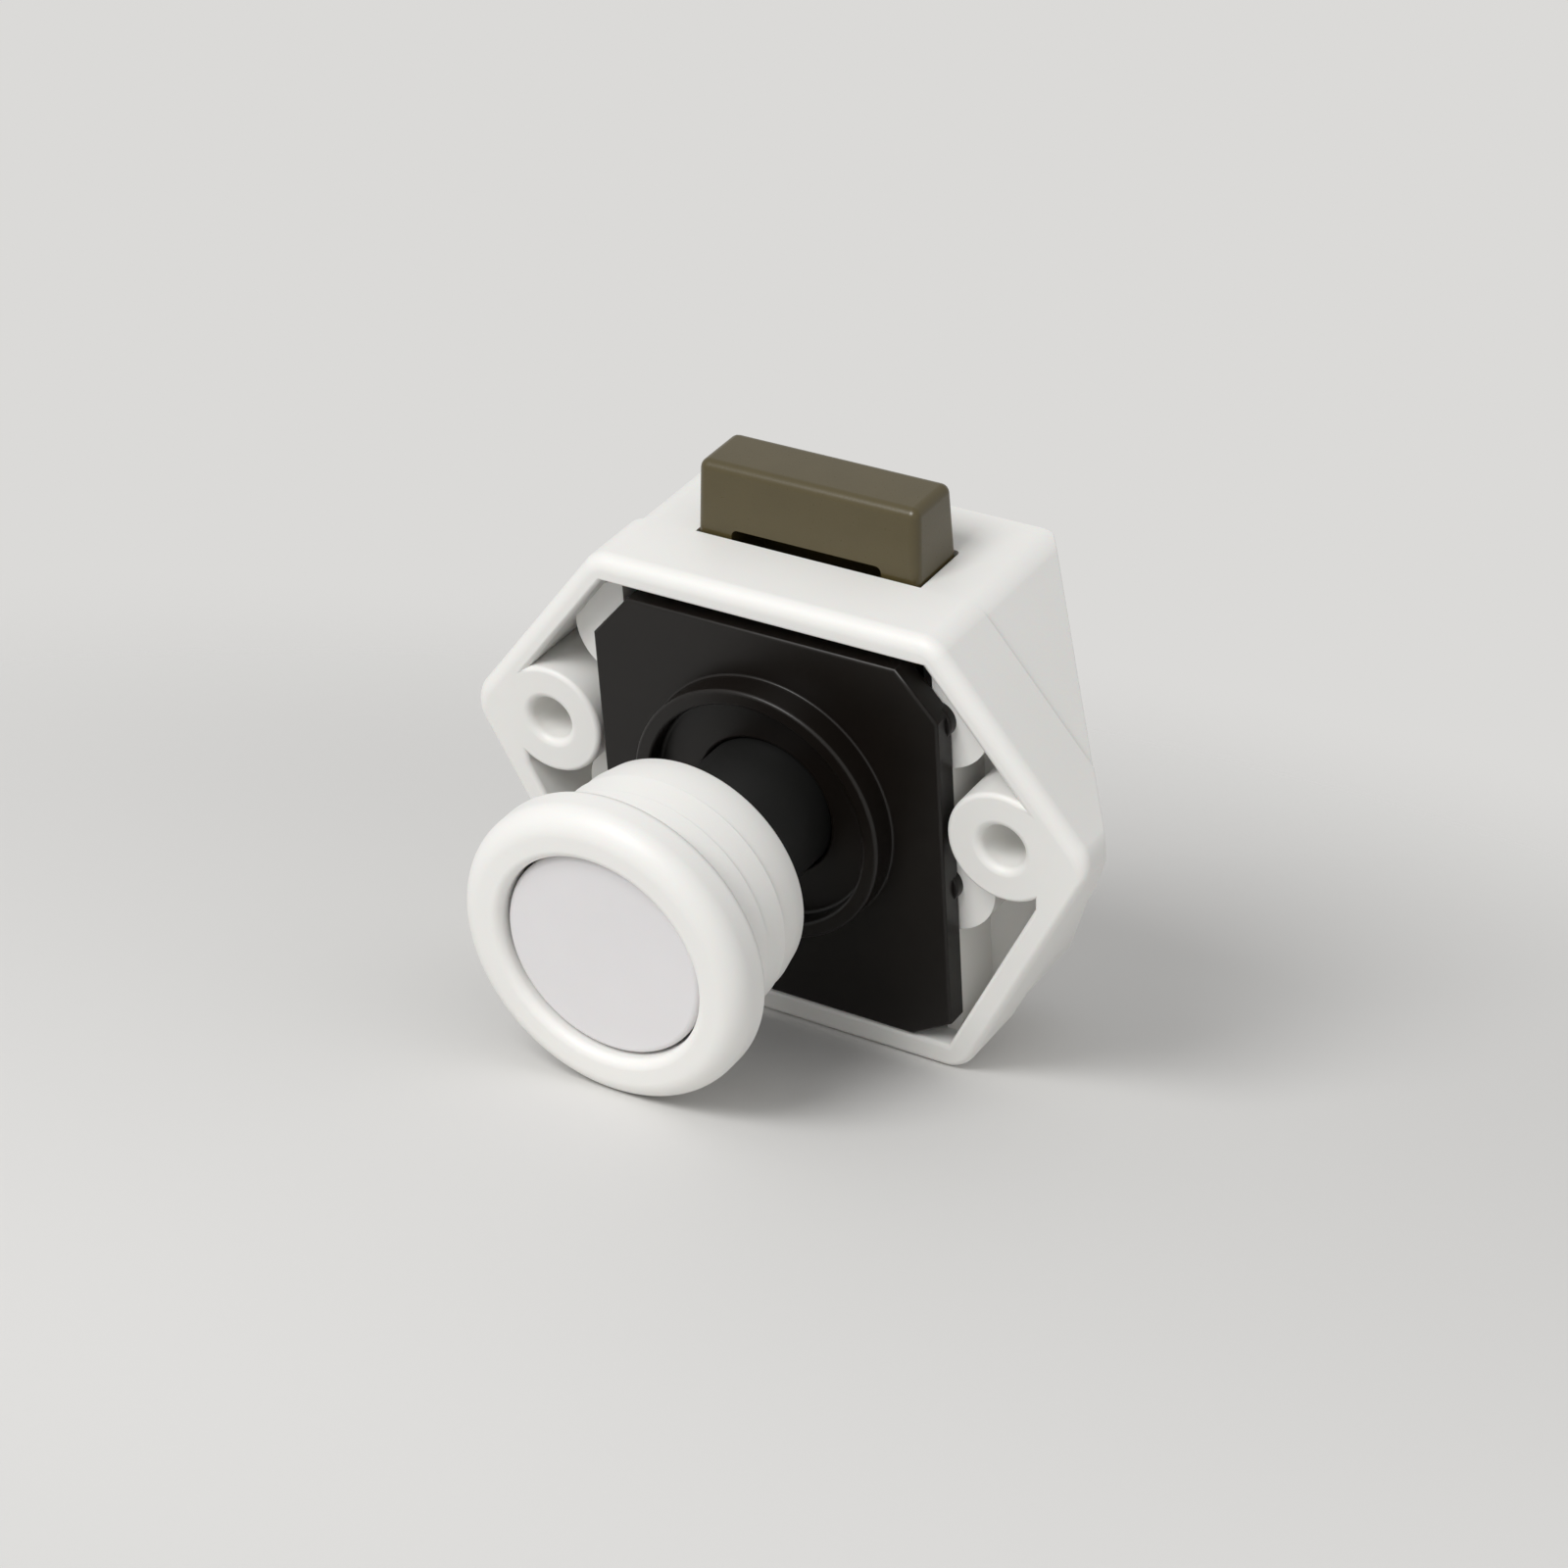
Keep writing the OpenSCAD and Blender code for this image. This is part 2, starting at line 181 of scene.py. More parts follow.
# A profile of (radius, depth) points, spun about the button's axis
def turnProfile(name, profile, steps=128):
    piece = drawPoints(name, [(radius, depth, 0) for radius, depth in profile])
    bpy.ops.mesh.spin(steps=steps, angle=2 * math.pi, center=(0, 0, 0), axis=(0, 1, 0))
    bpy.ops.mesh.select_all(action="SELECT")
    bpy.ops.mesh.remove_doubles(threshold=weld * mm)
    bpy.ops.mesh.normals_make_consistent(inside=False)
    leaveEdit()
    return piece


def drawPoints(name, points):  # one vertex is extruded from point to point
    bpy.ops.object.select_all(action="DESELECT")
    bpy.ops.mesh.primitive_plane_add(size=mm)
    piece = settle(name)
    pick(piece, "VERT", lambda vert: True)
    bpy.ops.mesh.merge(type="CENTER")
    points = [Vector(point) * mm for point in points]
    bpy.ops.transform.translate(value=points[0])
    for last, point in zip(points, points[1:]):
        bpy.ops.mesh.extrude_vertices_move(TRANSFORM_OT_translate={"value": point - last})
    bpy.ops.mesh.select_all(action="SELECT")
    return piece


def raiseOutline(name, outline, bottom, top):  # a closed outline in X and Y, filled and carried upward
    piece = drawPoints(name, [(x, y, bottom) for x, y in outline + outline[:1]])
    bpy.ops.mesh.remove_doubles(threshold=weld * mm)
    bpy.ops.mesh.edge_face_add()
    bpy.ops.mesh.extrude_region_move(TRANSFORM_OT_translate={"value": (0, 0, (top - bottom) * mm)})
    bpy.ops.mesh.select_all(action="SELECT")
    bpy.ops.mesh.normals_make_consistent(inside=False)
    leaveEdit()
    return piece


def arcPoints(centre, radius, start, end, steps=8):
    angles = [math.radians(start + (end - start) * step / steps) for step in range(steps + 1)]
    return [(centre[0] + radius * math.cos(a), centre[1] + radius * math.sin(a)) for a in angles]


def meets(edge, angle=60):  # the two faces of an edge turn by more than this many degrees
    return len(edge.link_faces) == 2 and edge.calc_face_angle(0) > math.radians(angle)


def spans(edge, axis):  # lowest and highest place of an edge along one axis, in millimetres
    return tuple(sorted(vert.co[axis] / mm for vert in edge.verts))


def goesAlong(edge, axis):  # the edge has some length along this axis
    low, high = spans(edge, axis)
    return high - low > near


# Case: hexagonal rim, rear body with sloped wings, pockets in front, side bays open to the back
case = {
    "openingHalfWidth": 30.4, "openingTopHalfWidth": 16.8, "openingLowHalfWidth": 17.8,
    "openingTop": 18.9, "openingBottom": -21.8,
    "rimDepth": 8.1, "rimWall": 2.5, "bodyWall": 2.1, "stepDepth": 0.15,
    "cornerRadius": 3.0, "frontRound": 1.5, "lowerRound": 0.7, "rearRound": 0.7, "lipRound": 0.5,
    "holeRound": 0.8, "innerRound": 0.25, "postFillet": 0.9, "sliver": 0.05,
    "wingFront": 3.0, "rearHalfWidth": 17.5, "pocketHalfWidth": 27.4,
    "pocketDepth": 8.5, "webThick": 1.8, "chamberHalfWidth": 16.3, "chamberWall": 1.6,
    "bossRadius": 5.6, "headRadius": 4.2, "headSeat": 5.0,
    "postX": 16.85, "postRadius": 5.1, "postFront": 2.6, "postInset": 0.5, "postHeights": (12.2, -5.2),
    "guideX": 11.9, "guideThick": 1.6, "guideFront": 8.5, "guideBottom": -11.9,
    "slotHalfWidth": 11.9, "slotFront": 8.3, "slotBack": 15.9, "slotCorner": 0.5,
    "shelfHalfWidth": 3.0, "shelfFront": 17.2, "shelfBottom": -11.4, "shelfTop": -7.4,
    "pivotY": 19.4, "pivotRadius": 0.65, "spigotRadius": 1.6, "spigotFront": 18.9, "over": 2.0,
}
corner = Vector((case["openingHalfWidth"], 0, screwZ))
rearIn = caseHigh.y - case["bodyWall"]
beyond = caseHigh.y + case["over"]


def flankNormal(halfWidth, height):  # outward normal of the sloped side that leaves the side corner
    run = Vector((halfWidth, 0, height)) - corner
    normal = Vector((-run.z, 0, run.x)).normalized()
    return normal if normal.x > 0 else -normal


upperNormal = flankNormal(case["openingTopHalfWidth"], case["openingTop"])
lowerNormal = flankNormal(case["openingLowHalfWidth"], case["openingBottom"])
rimTip = corner + case["rimWall"] * (upperNormal + lowerNormal) / (1 + upperNormal.dot(lowerNormal))
wingSlope = (rimTip.x - case["rearHalfWidth"]) / (caseHigh.y - case["wingFront"])
wingNormal = Vector((1, wingSlope, 0)).normalized()


def mirrored(normal, side):
    return Vector((normal.x * side, normal.y, normal.z))


def makeHexagon(name, grow, front, back):
    wide = case["openingHalfWidth"] + 4 * grow + 2 * case["over"]  # the slopes cut these ends off
    piece = addBlock(
        name, (-wide, front, case["openingBottom"] - grow), (wide, back, case["openingTop"] + grow)
    )
    for side in sides:
        for normal in (upperNormal, lowerNormal):
            place = mirrored(corner + normal * grow, side)
            slicePiece(piece, place, mirrored(normal, side))
    return piece


def wingPoint(side):
    return Vector((rimTip.x * side, case["wingFront"], 0))


def cutWings(piece, inset):
    for side in sides:
        normal = mirrored(wingNormal, side)
        slicePiece(piece, wingPoint(side) - normal * inset, normal)


def onWing(edge):
    places = [vert.co / mm for vert in edge.verts]
    return any(
        all(abs((place - wingPoint(side)).dot(mirrored(wingNormal, side))) < near for place in places)
        for side in sides
    )


def makeCase():
    shell = makeHexagon("case", case["rimWall"], 0, case["rimDepth"])
    step = case["rimWall"] - case["bodyWall"]
    pick(shell, "FACE", lambda face: face.normal.y > 0.9)  # the back face
    bpy.ops.mesh.inset(thickness=step * mm, depth=case["stepDepth"] * mm)
    bodyDepth = caseHigh.y - case["rimDepth"] - case["stepDepth"]
    bpy.ops.mesh.extrude_region_move(TRANSFORM_OT_translate={"value": (0, bodyDepth * mm, 0)})
    leaveEdit()
    # the long corners get one radius, so each bevel is as wide as its corner turns
    turnTop = math.acos(upperNormal.z)
    turnBottom = math.acos(-lowerNormal.z)
    turnSide = math.pi - turnTop - turnBottom
    for turn, test in (
        (turnTop, lambda edge: spans(edge, 2)[0] > case["openingTop"] / 2),
        (turnSide, lambda edge: abs(spans(edge, 0)[0]) > screwX),
        (turnBottom, lambda edge: spans(edge, 2)[1] < case["openingBottom"] / 2),
    ):
        soften(
            shell, lambda edge: goesAlong(edge, 1) and test(edge),
            case["cornerRadius"] * math.tan(turn / 2), segments=8,
        )
    cutWings(shell, 0)
    roundFront(shell)
    soften(
        shell,
        lambda edge: (spans(edge, 1)[0] > caseHigh.y - near or onWing(edge)) and meets(edge, angle=20),
        case["rearRound"], segments=4,
    )
    return shell


def roundFront(shell):  # the rim's front edge is softer above the side corners than below them
    weights = shell.data.attributes.new("bevel_weight_edge", "FLOAT", "EDGE")
    least = case["lowerRound"] / case["frontRound"]
    for edge in shell.data.edges:
        ends = [shell.data.vertices[index].co / mm for index in edge.vertices]
        if max(end.y for end in ends) < near:
            rise = (ends[0].z + ends[1].z - 2 * screwZ) / (2 * case["cornerRadius"])
            weights.data[edge.index].value = least + (1 - least) * min(max(rise + 0.5, 0), 1)
    makeActive(shell)
    rounding = shell.modifiers.new("front edge", "BEVEL")
    rounding.limit_method = "WEIGHT"
    rounding.width = case["frontRound"] * mm
    rounding.segments = 6
    bpy.ops.object.modifier_apply(modifier=rounding.name)
    shell.data.attributes.remove(shell.data.attributes["bevel_weight_edge"])


def narrow(piece, halfWidth):
    for side in sides:
        slicePiece(piece, (halfWidth * side, 0, 0), (side, 0, 0))


def leaveBosses(cutter, front, back):
    for side in sides:
        combine(cutter, addRod("boss", case["bossRadius"], screwX * side, screwZ, front, back), "DIFFERENCE")


def leavePosts(cutter):
    for side in sides:
        for height in case["postHeights"]:
            post = addRod(
                "post", case["postRadius"], case["postX"] * side, height, case["postFront"], beyond, steps=80
            )
            inner = case["chamberHalfWidth"] + case["postInset"]  # the flat side ends inside the wall
            slicePiece(post, (inner * side, 0, 0), (-side, 0, 0))
            combine(cutter, post, "DIFFERENCE")


def leaveBlocks(cutter, name, low, high):  # a block on each side stays standing
    for side in sides:
        xs = sorted((low[0] * side, high[0] * side))
        combine(cutter, addBlock(name, (xs[0], *low[1:]), (xs[1], *high[1:])), "DIFFERENCE")


def makePockets():
    pockets = makeHexagon("pockets", 0, -case["over"], case["pocketDepth"])
    narrow(pockets, case["pocketHalfWidth"])
    cutWings(pockets, case["bodyWall"])
    leaveBosses(pockets, -2 * case["over"], beyond)
    leavePosts(pockets)
    leaveBlocks(
        pockets, "chamberWall", (case["chamberHalfWidth"], case["postFront"], caseLow.z),
        (case["chamberHalfWidth"] + case["chamberWall"], beyond, caseHigh.z),
    )
    return pockets


def makeChamber():
    chamber = makeHexagon("chamber", 0, case["pocketDepth"] - case["over"], rearIn)
    narrow(chamber, case["chamberHalfWidth"])
    cutWings(chamber, case["bodyWall"])
    leaveBlocks(
        chamber, "guide", (case["guideX"], case["guideFront"], case["guideBottom"]),
        (case["guideX"] + case["guideThick"], beyond, case["openingTop"] + case["over"]),
    )
    shelf = addBlock(
        "shelf", (-case["shelfHalfWidth"], case["shelfFront"], case["shelfBottom"]),
        (case["shelfHalfWidth"], beyond, case["shelfTop"]),
    )
    pivot = addBar(
        "pivot", case["pivotRadius"], (0, case["pivotY"], case["shelfBottom"] - past),
        (0, case["pivotY"], case["shelfTop"] + past), steps=32,
    )
    combine(shelf, pivot, "DIFFERENCE")
    combine(chamber, shelf, "DIFFERENCE")
    spigot = addRod("spigot", case["spigotRadius"], 0, 0, case["spigotFront"], beyond, steps=48)
    combine(chamber, spigot, "DIFFERENCE")
    return chamber


def makeBays():  # hollows behind the pockets, open to the back
    bays = makeHexagon("bays", 0, case["pocketDepth"] + case["webThick"], beyond)
    narrow(bays, screwX + case["bossRadius"] / 2)
    middle = case["chamberHalfWidth"] + case["chamberWall"]
    core = addBlock("middle", (-middle, 0, caseLow.z - past), (middle, beyond + past, caseHigh.z + past))
    combine(bays, core, "DIFFERENCE")
    leaveBosses(bays, 0, beyond + past)
    return bays


def nearScrew(edge, radius):  # the edge lies within this radius of a screw's axis
    return all(
        math.hypot(abs(vert.co.x / mm) - screwX, vert.co.z / mm - screwZ) < radius + case["sliver"]
        for vert in edge.verts
    )


def onRimFront(edge):
    return spans(edge, 1)[1] < near and meets(edge)


def onPostFront(edge):
    return all(abs(place - case["postFront"]) < near for place in spans(edge, 1)) and meets(edge)


def makeHousing():
    shell = makeCase()
    for cutter in (makePockets(), makeChamber(), makeBays()):
        combine(shell, cutter, "DIFFERENCE")
    for side in sides:
        for name, radius, front in (
            ("screwHole", screwRadius, -case["over"]), ("headHole", case["headRadius"], case["headSeat"])
        ):
            combine(shell, addRod(name, radius, screwX * side, screwZ, front, beyond), "DIFFERENCE")
    slot = addBlock(
        "slot", (-case["slotHalfWidth"], case["slotFront"], case["openingTop"] - case["over"]),
        (case["slotHalfWidth"], case["slotBack"], caseHigh.z + case["over"]),
    )
    soften(slot, lambda edge: goesAlong(edge, 2), case["slotCorner"], segments=4)
    combine(shell, slot, "DIFFERENCE")
    tidyMesh(shell, case["sliver"])
    # mouths of the screw holes, inner lip of the rim and bosses, then the posts
    mouth = screwRadius + case["holeRound"]
    soften(
        shell, lambda edge: onRimFront(edge) and nearScrew(edge, screwRadius), case["holeRound"], segments=6
    )
    soften(
        shell, lambda edge: onRimFront(edge) and not nearScrew(edge, mouth),
        case["lipRound"], segments=4, clamp=False,
    )
    soften(shell, lambda edge: onPostFront(edge) and not edge.is_convex, case["postFillet"], segments=5)
    soften(shell, lambda edge: onPostFront(edge) and edge.is_convex, case["innerRound"])
    finishShading(shell)
    return shell


housing = makeHousing()
print("case:", len(housing.data.polygons), "faces")


# Cover plate: cut corners, a hollow collar round the stem and four small lugs
plate = {
    "halfWidth": 18.2, "top": 17.8, "bottom": -21.7, "cutWidth": 4.1, "upperCut": 4.6, "lowerCut": 2.4,
    "edgeRound": 0.3,
    "collarRadius": 13.0, "collarHeight": 2.8, "collarWall": 1.6, "collarFloor": 0.9,
    "collarRound": 0.35, "footFillet": 0.22, "openingEase": 0.2, "bore": 7.0,
    "lugX": 16.85, "lugRadius": 1.8, "lugFront": 1.6, "lugRound": 0.2,
}


def makePlate():
    piece = addBlock(
        "coverPlate", (-plate["halfWidth"], 0, plate["bottom"]),
        (plate["halfWidth"], plateHigh.y, plate["top"]),
    )
    cornerX = plate["halfWidth"] - plate["cutWidth"]
    for side in sides:
        for height, cut, up in (
            (plate["top"], plate["upperCut"], 1), (plate["bottom"], plate["lowerCut"], -1)
        ):
            normal = Vector((cut * side, 0, plate["cutWidth"] * up)).normalized()
            slicePiece(piece, (cornerX * side, 0, height), normal)
    soften(piece, meets, plate["edgeRound"])
    for side in sides:
        for height in case["postHeights"]:
            lug = addRod(
                "lug", plate["lugRadius"], plate["lugX"] * side, height, plate["lugFront"],
                plateHigh.y - near, steps=48,
            )
            soften(lug, lambda edge: spans(edge, 1)[1] < plate["lugFront"] + near, plate["lugRound"])
            combine(piece, lug, "UNION")
    opening = plate["collarRadius"] + plate["openingEase"]  # the collar's foot covers the gap
    combine(piece, addRod("opening", opening, 0, 0, -past, plateHigh.y + past, steps=128), "DIFFERENCE")
    combine(piece, makeCollar(), "UNION")
    tidyMesh(piece)
    finishShading(piece)
    return piece


def makeCollar():
    soft, fillet = plate["collarRound"], plate["footFillet"]
    inner = plate["collarRadius"] - plate["collarWall"]
    front, floor = -plate["collarHeight"], -plate["collarFloor"]
    back = plateHigh.y - 2 * near
    profile = (
        [(plate["bore"], back)]
        + arcPoints((plate["bore"] + soft, floor + soft), soft, 180, 270)
        + arcPoints((inner - soft, floor - soft), soft, 90, 0)
        + arcPoints((inner + soft, front + soft), soft, 180, 270)
        + arcPoints((plate["collarRadius"] - soft, front + soft), soft, -90, 0)
        + arcPoints((plate["collarRadius"] + fillet, -fillet - near), fillet, 180, 90, steps=6)
        + [(plate["collarRadius"] + fillet, back), (plate["bore"], back)]
    )
    return turnProfile("collar", profile)


coverPlate = makePlate()
print("cover plate:", len(coverPlate.data.polygons), "faces")


# Rosette: rounded ring on the door, ridged sleeve behind it
rosetteSizes = {
    "bore": 10.25, "sleeveWall": 1.9, "sleeveLength": 10.8, "ringThick": 4.8,
    "outerRound": 2.3, "lipRound": 0.9, "heelRound": 1.0,
    "ridges": 3, "firstRidge": 0.9, "ridgePitch": 2.8, "ridgeHeight": 0.3, "ridgeDrop": 0.05,
    "ridgeRound": 0.05, "taper": 0.05,
    "leadLength": 2.2, "leadRise": 0.15, "leadDrop": 0.35, "rearRound": 0.5, "steps": 160,
}


def makeRosette():
    size = rosetteSizes
    front, radius = ringLow.y, ringHigh.x
    back = front + size["ringThick"]
    sleeve = size["bore"] + size["sleeveWall"]
    lip, outer, heel = size["lipRound"], size["outerRound"], size["heelRound"]
    crestRound, rearRound = size["ridgeRound"], size["rearRound"]
    rear = back + size["sleeveLength"]
    profile = (
        arcPoints((size["bore"] + lip, front + lip), lip, 180, 270)
        + arcPoints((radius - outer, front + outer), outer, -90, 0, steps=14)
        + arcPoints((radius - heel, back - heel), heel, 0, 90)
        + [(sleeve, back)]
    )
    for ridge in range(size["ridges"]):  # a long gentle rise away from the ring, then a short drop
        crest = back + size["firstRidge"] + ridge * size["ridgePitch"]
        high = sleeve - size["taper"] * ridge + size["ridgeHeight"]
        profile += arcPoints((high - crestRound, crest - crestRound), crestRound, 0, 60, steps=3)
        profile.append((sleeve - size["taper"] * (ridge + 1), crest + size["ridgeDrop"]))
    lead = profile[-1][0] + size["leadRise"]  # the rear end narrows, to find the hole in the door
    profile.append((lead, rear - size["leadLength"]))
    profile += arcPoints((lead - size["leadDrop"] - rearRound, rear - rearRound), rearRound, 0, 90, steps=5)
    profile += [(size["bore"], rear), profile[0]]
    piece = turnProfile("doorRosette", profile, size["steps"])
    finishShading(piece)
    return piece


rosette = makeRosette()
print("rosette:", len(rosette.data.polygons), "faces")


# Button: flat cap with a soft edge, hollow behind
capSizes = {"radius": 10.0, "wall": 1.6, "round": 0.6, "hub": 5.5, "spindle": 3.55}


def makeButton():
    size = capSizes
    face, rear = capLow.y, capHigh.y
    floor = face + size["wall"]
    skirt = size["radius"] - size["wall"]
    profile = (
        [(0, face)]
        + arcPoints((size["radius"] - size["round"], face + size["round"]), size["round"], -90, 0)
        + [
            (size["radius"], rear), (skirt, rear), (skirt, floor + size["wall"]),
            (size["hub"], floor + size["wall"]), (size["hub"], rear),
            (size["spindle"], rear), (size["spindle"], floor), (0, floor),
        ]
    )
    piece = turnProfile("buttonCap", profile)
    finishShading(piece)
    return piece


buttonCap = makeButton()
print("button:", len(buttonCap.data.polygons), "faces")


# Bolt: drafted head with soft edges and a notch, two slotted cheeks inside the case
bolt = {
    "front": 8.5, "thick": 7.2, "headBottom": 14.9, "draftFrom": 21.0, "edgeRound": 0.9,
    "frontDraft": 6.0, "backDraft": 0.8, "sideDraft": 1.6,
    "cheekInner": 7.9, "cheekTop": 17.2, "cheekRound": 0.25,
    "slotLow": (17.0, -1.27), "slotHigh": (6.5, 7.6), "slotRadius": 1.75,
    "slotRounding": 0.999,  # just short of a half circle, so that no two bevels meet in one line
    "notchHalfWidth": 7.9, "notchTop": 22.1, "notchBack": 1.8, "notchCorner": 0.6,
}


def makeBolt():
    half, back = boltHigh.x, bolt["front"] + bolt["thick"]
    head = addBlock("latchBolt", (-half, bolt["front"], bolt["headBottom"]), (half, back, boltHigh.z))
    for place, out, draft in (
        ((half, 0), (1, 0), "sideDraft"), ((-half, 0), (-1, 0), "sideDraft"),
        ((0, bolt["front"]), (0, -1), "frontDraft"), ((0, back), (0, 1), "backDraft"),
    ):
        lean = math.radians(bolt[draft])
        normal = Vector((out[0] * math.cos(lean), out[1] * math.cos(lean), math.sin(lean)))
        slicePiece(head, (*place, bolt["draftFrom"]), normal)
    soften(
        head, lambda edge: spans(edge, 2)[1] > boltHigh.z - near and meets(edge),
        bolt["edgeRound"], segments=5,
    )
    notch = addBlock(
        "notch", (-bolt["notchHalfWidth"], bolt["front"] - 2 * past, bolt["headBottom"] - 2 * past),
        (bolt["notchHalfWidth"], back - bolt["notchBack"], bolt["notchTop"]),
    )
    soften(
        notch, lambda edge: spans(edge, 2)[0] > bolt["notchTop"] - near and goesAlong(edge, 1),
        bolt["notchCorner"], segments=4,
    )
    combine(head, notch, "DIFFERENCE")
    outer = half - near / 2  # a hair inside the head, so that no two faces coincide
    for side in sides:
        xs = sorted((bolt["cheekInner"] * side, outer * side))
        cheek = addBlock("cheek", (xs[0], boltLow.y, boltLow.z), (xs[1], boltHigh.y, bolt["cheekTop"]))
        soften(cheek, meets, bolt["cheekRound"], segments=2)
        combine(head, cheek, "UNION")
    combine(head, makePegSlot(), "DIFFERENCE")
    tidyMesh(head)
    finishShading(head)
    return head


def makePegSlot():  # one long cutter through both cheeks, with round ends
    low, high = Vector(bolt["slotLow"]), Vector(bolt["slotHigh"])
    run = high - low
    middle = (low + high) / 2
    radius = bolt["slotRadius"]
    reach = run.length / 2 + radius
    wide = boltHigh.x + 2 * past
    slot = addBlock(
        "pegSlot", (-wide, middle.x - reach, middle.y - radius),
        (wide, middle.x + reach, middle.y + radius), math.atan2(-run.y, -run.x),
    )
    soften(slot, lambda edge: goesAlong(edge, 0), radius * bolt["slotRounding"], segments=10)
    return slot


latchBolt = makeBolt()
print("bolt:", len(latchBolt.data.polygons), "faces")


# Push rod: round stem, spindle for the cap, flat tail with two pegs and the heart-shaped track
rod = {
    "stem": 6.9, "stemSink": 0.5, "spindle": 3.5, "spindleSink": 1.0,
    "tailFront": 12.0, "tailBack": 19.0, "tailHalfWidth": 7.5, "tailHalfHeight": 5.0,
    "pegRadius": 1.6, "pegY": 15.5, "flatFront": 6.0, "boreRadius": 2.7, "boreFront": 8.0,
    "trackDepth": 1.4, "shoulderRound": 0.4, "edgeRound": 0.3,
    "track": [
        (-0.9, 20.0), (-0.9, 16.0), (-3.1, 14.2), (-3.1, 10.8), (-0.9, 7.5),
        (0.9, 7.5), (3.1, 10.8), (3.1, 14.2), (0.9, 16.0), (0.9, 20.0),
    ],
    "heart": [(0, 10.8), (1.3, 9.45), (1.3, 11.7), (0, 14.2), (-1.3, 11.7), (-1.3, 9.45)],
}


def makePushRod():
    shoulder, wide, high = capHigh.y, rod["tailHalfWidth"], rod["tailHalfHeight"]
    piece = addRod("pushRod", rod["stem"], 0, 0, shoulder, rod["tailFront"] + rod["stemSink"], steps=128)
    soften(piece, lambda edge: spans(edge, 1)[1] < shoulder + near, rod["shoulderRound"])
    around = rod["stem"] + past
    below = addBlock("flat", (-around, rod["flatFront"], -around), (around, beyond, -high))
    combine(piece, below, "DIFFERENCE")
    spindle = addRod("spindle", rod["spindle"], 0, 0, rodLow.y, shoulder + rod["spindleSink"], steps=64)
    soften(spindle, lambda edge: spans(edge, 1)[1] < rodLow.y + near, rod["edgeRound"], segments=2)
    combine(piece, spindle, "UNION")
    tail = addBlock("tail", (-wide, rod["tailFront"], -high), (wide, rod["tailBack"], high))
    soften(tail, meets, rod["edgeRound"], segments=2)
    combine(piece, tail, "UNION")
    axle = addBar(
        "axle", rod["pegRadius"], (rodLow.x, rod["pegY"], 0), (rodHigh.x, rod["pegY"], 0), steps=48
    )
    soften(axle, lambda edge: not goesAlong(edge, 0), rod["edgeRound"], segments=2)
    combine(piece, axle, "UNION")
    bore = addRod("bore", rod["boreRadius"], 0, 0, rod["boreFront"], beyond, steps=64)
    combine(piece, bore, "DIFFERENCE")
    track = raiseOutline("track", rod["track"], -high - past, -high + rod["trackDepth"])
    heart = raiseOutline("heart", rod["heart"], -high - 2 * past, -high + 2 * rod["trackDepth"])
    combine(track, heart, "DIFFERENCE")
    combine(piece, track, "DIFFERENCE")
    tidyMesh(piece)
    finishShading(piece)
    return piece


pushRod = makePushRod()
print("push rod:", len(pushRod.data.polygons), "faces")


# Return spring: coiled wire with a closed turn at each end
spring = {"wire": 0.35, "section": 12, "turns": 5, "closedPitch": 0.72, "steps": 36}


def addCoil(start, pitch, turns):  # the wire's round section, carried along a helix
    bpy.ops.object.select_all(action="DESELECT")
    bpy.ops.mesh.primitive_circle_add(
        vertices=spring["section"], radius=spring["wire"] * mm,
        location=((springHigh.x - spring["wire"]) * mm, start * mm, 0),
    )
    piece = settle("returnSpring")
    coil = piece.modifiers.new("coil", "SCREW")
    coil.axis = "Y"
    coil.screw_offset = pitch * mm
    coil.iterations = turns
    coil.steps = coil.render_steps = spring["steps"]
    bpy.ops.object.modifier_apply(modifier=coil.name)
    return piece


def makeSpring():
    start, end = springLow.y + spring["wire"], springHigh.y - spring["wire"]
    closed = spring["closedPitch"]
    pitch = (end - start - 2 * closed) / spring["turns"]
    piece = addCoil(start, closed, 1)
    others = [addCoil(start + closed, pitch, spring["turns"]), addCoil(end - closed, closed, 1)]
    makeActive(piece)
    for other in others:
        other.select_set(True)
    bpy.ops.object.join()
    pick(piece, "VERT", lambda vert: True)
    bpy.ops.mesh.remove_doubles(threshold=weld * mm)
    bpy.ops.mesh.fill_holes(sides=0)
    bpy.ops.mesh.select_all(action="SELECT")
    bpy.ops.mesh.normals_make_consistent(inside=False)
    leaveEdit()
    finishShading(piece, angle=50)
    return piece


returnSpring = makeSpring()
print("spring:", len(returnSpring.data.polygons), "faces")


# Materials
def hexColour(text):  # sRGB hex to linear, by the standard's own curve
    parts = [int(text[i:i + 2], 16) / 255 for i in (1, 3, 5)]
    return tuple(p / 12.92 if p <= 0.04045 else ((p + 0.055) / 1.055) ** 2.4 for p in parts) + (1.0,)


def addNode(tree, kind, settings=None, links=None):
    node = tree.nodes.new(kind)
    for name, value in (settings or {}).items():
        if name in node.inputs:
            node.inputs[name].default_value = value
        else:
            setattr(node, name, value)
    for name, source in (links or {}).items():
        tree.links.new(source, node.inputs[name])
    return node


def startMaterial(name):
    material = bpy.data.materials.new(name)
    material.use_nodes = True
    tree = material.node_tree
    tree.nodes.clear()
    place = addNode(tree, "ShaderNodeTexCoord").outputs["Object"]
    return material, tree, place


def perMetre(size):  # noise scale for features of this many millimetres
    return 1 / (size * mm)


glowReach = 0.6  # millimetres that light goes into the plastic
mixA, mixB, mixOut = 6, 7, 2  # the colour sockets of the Mix node


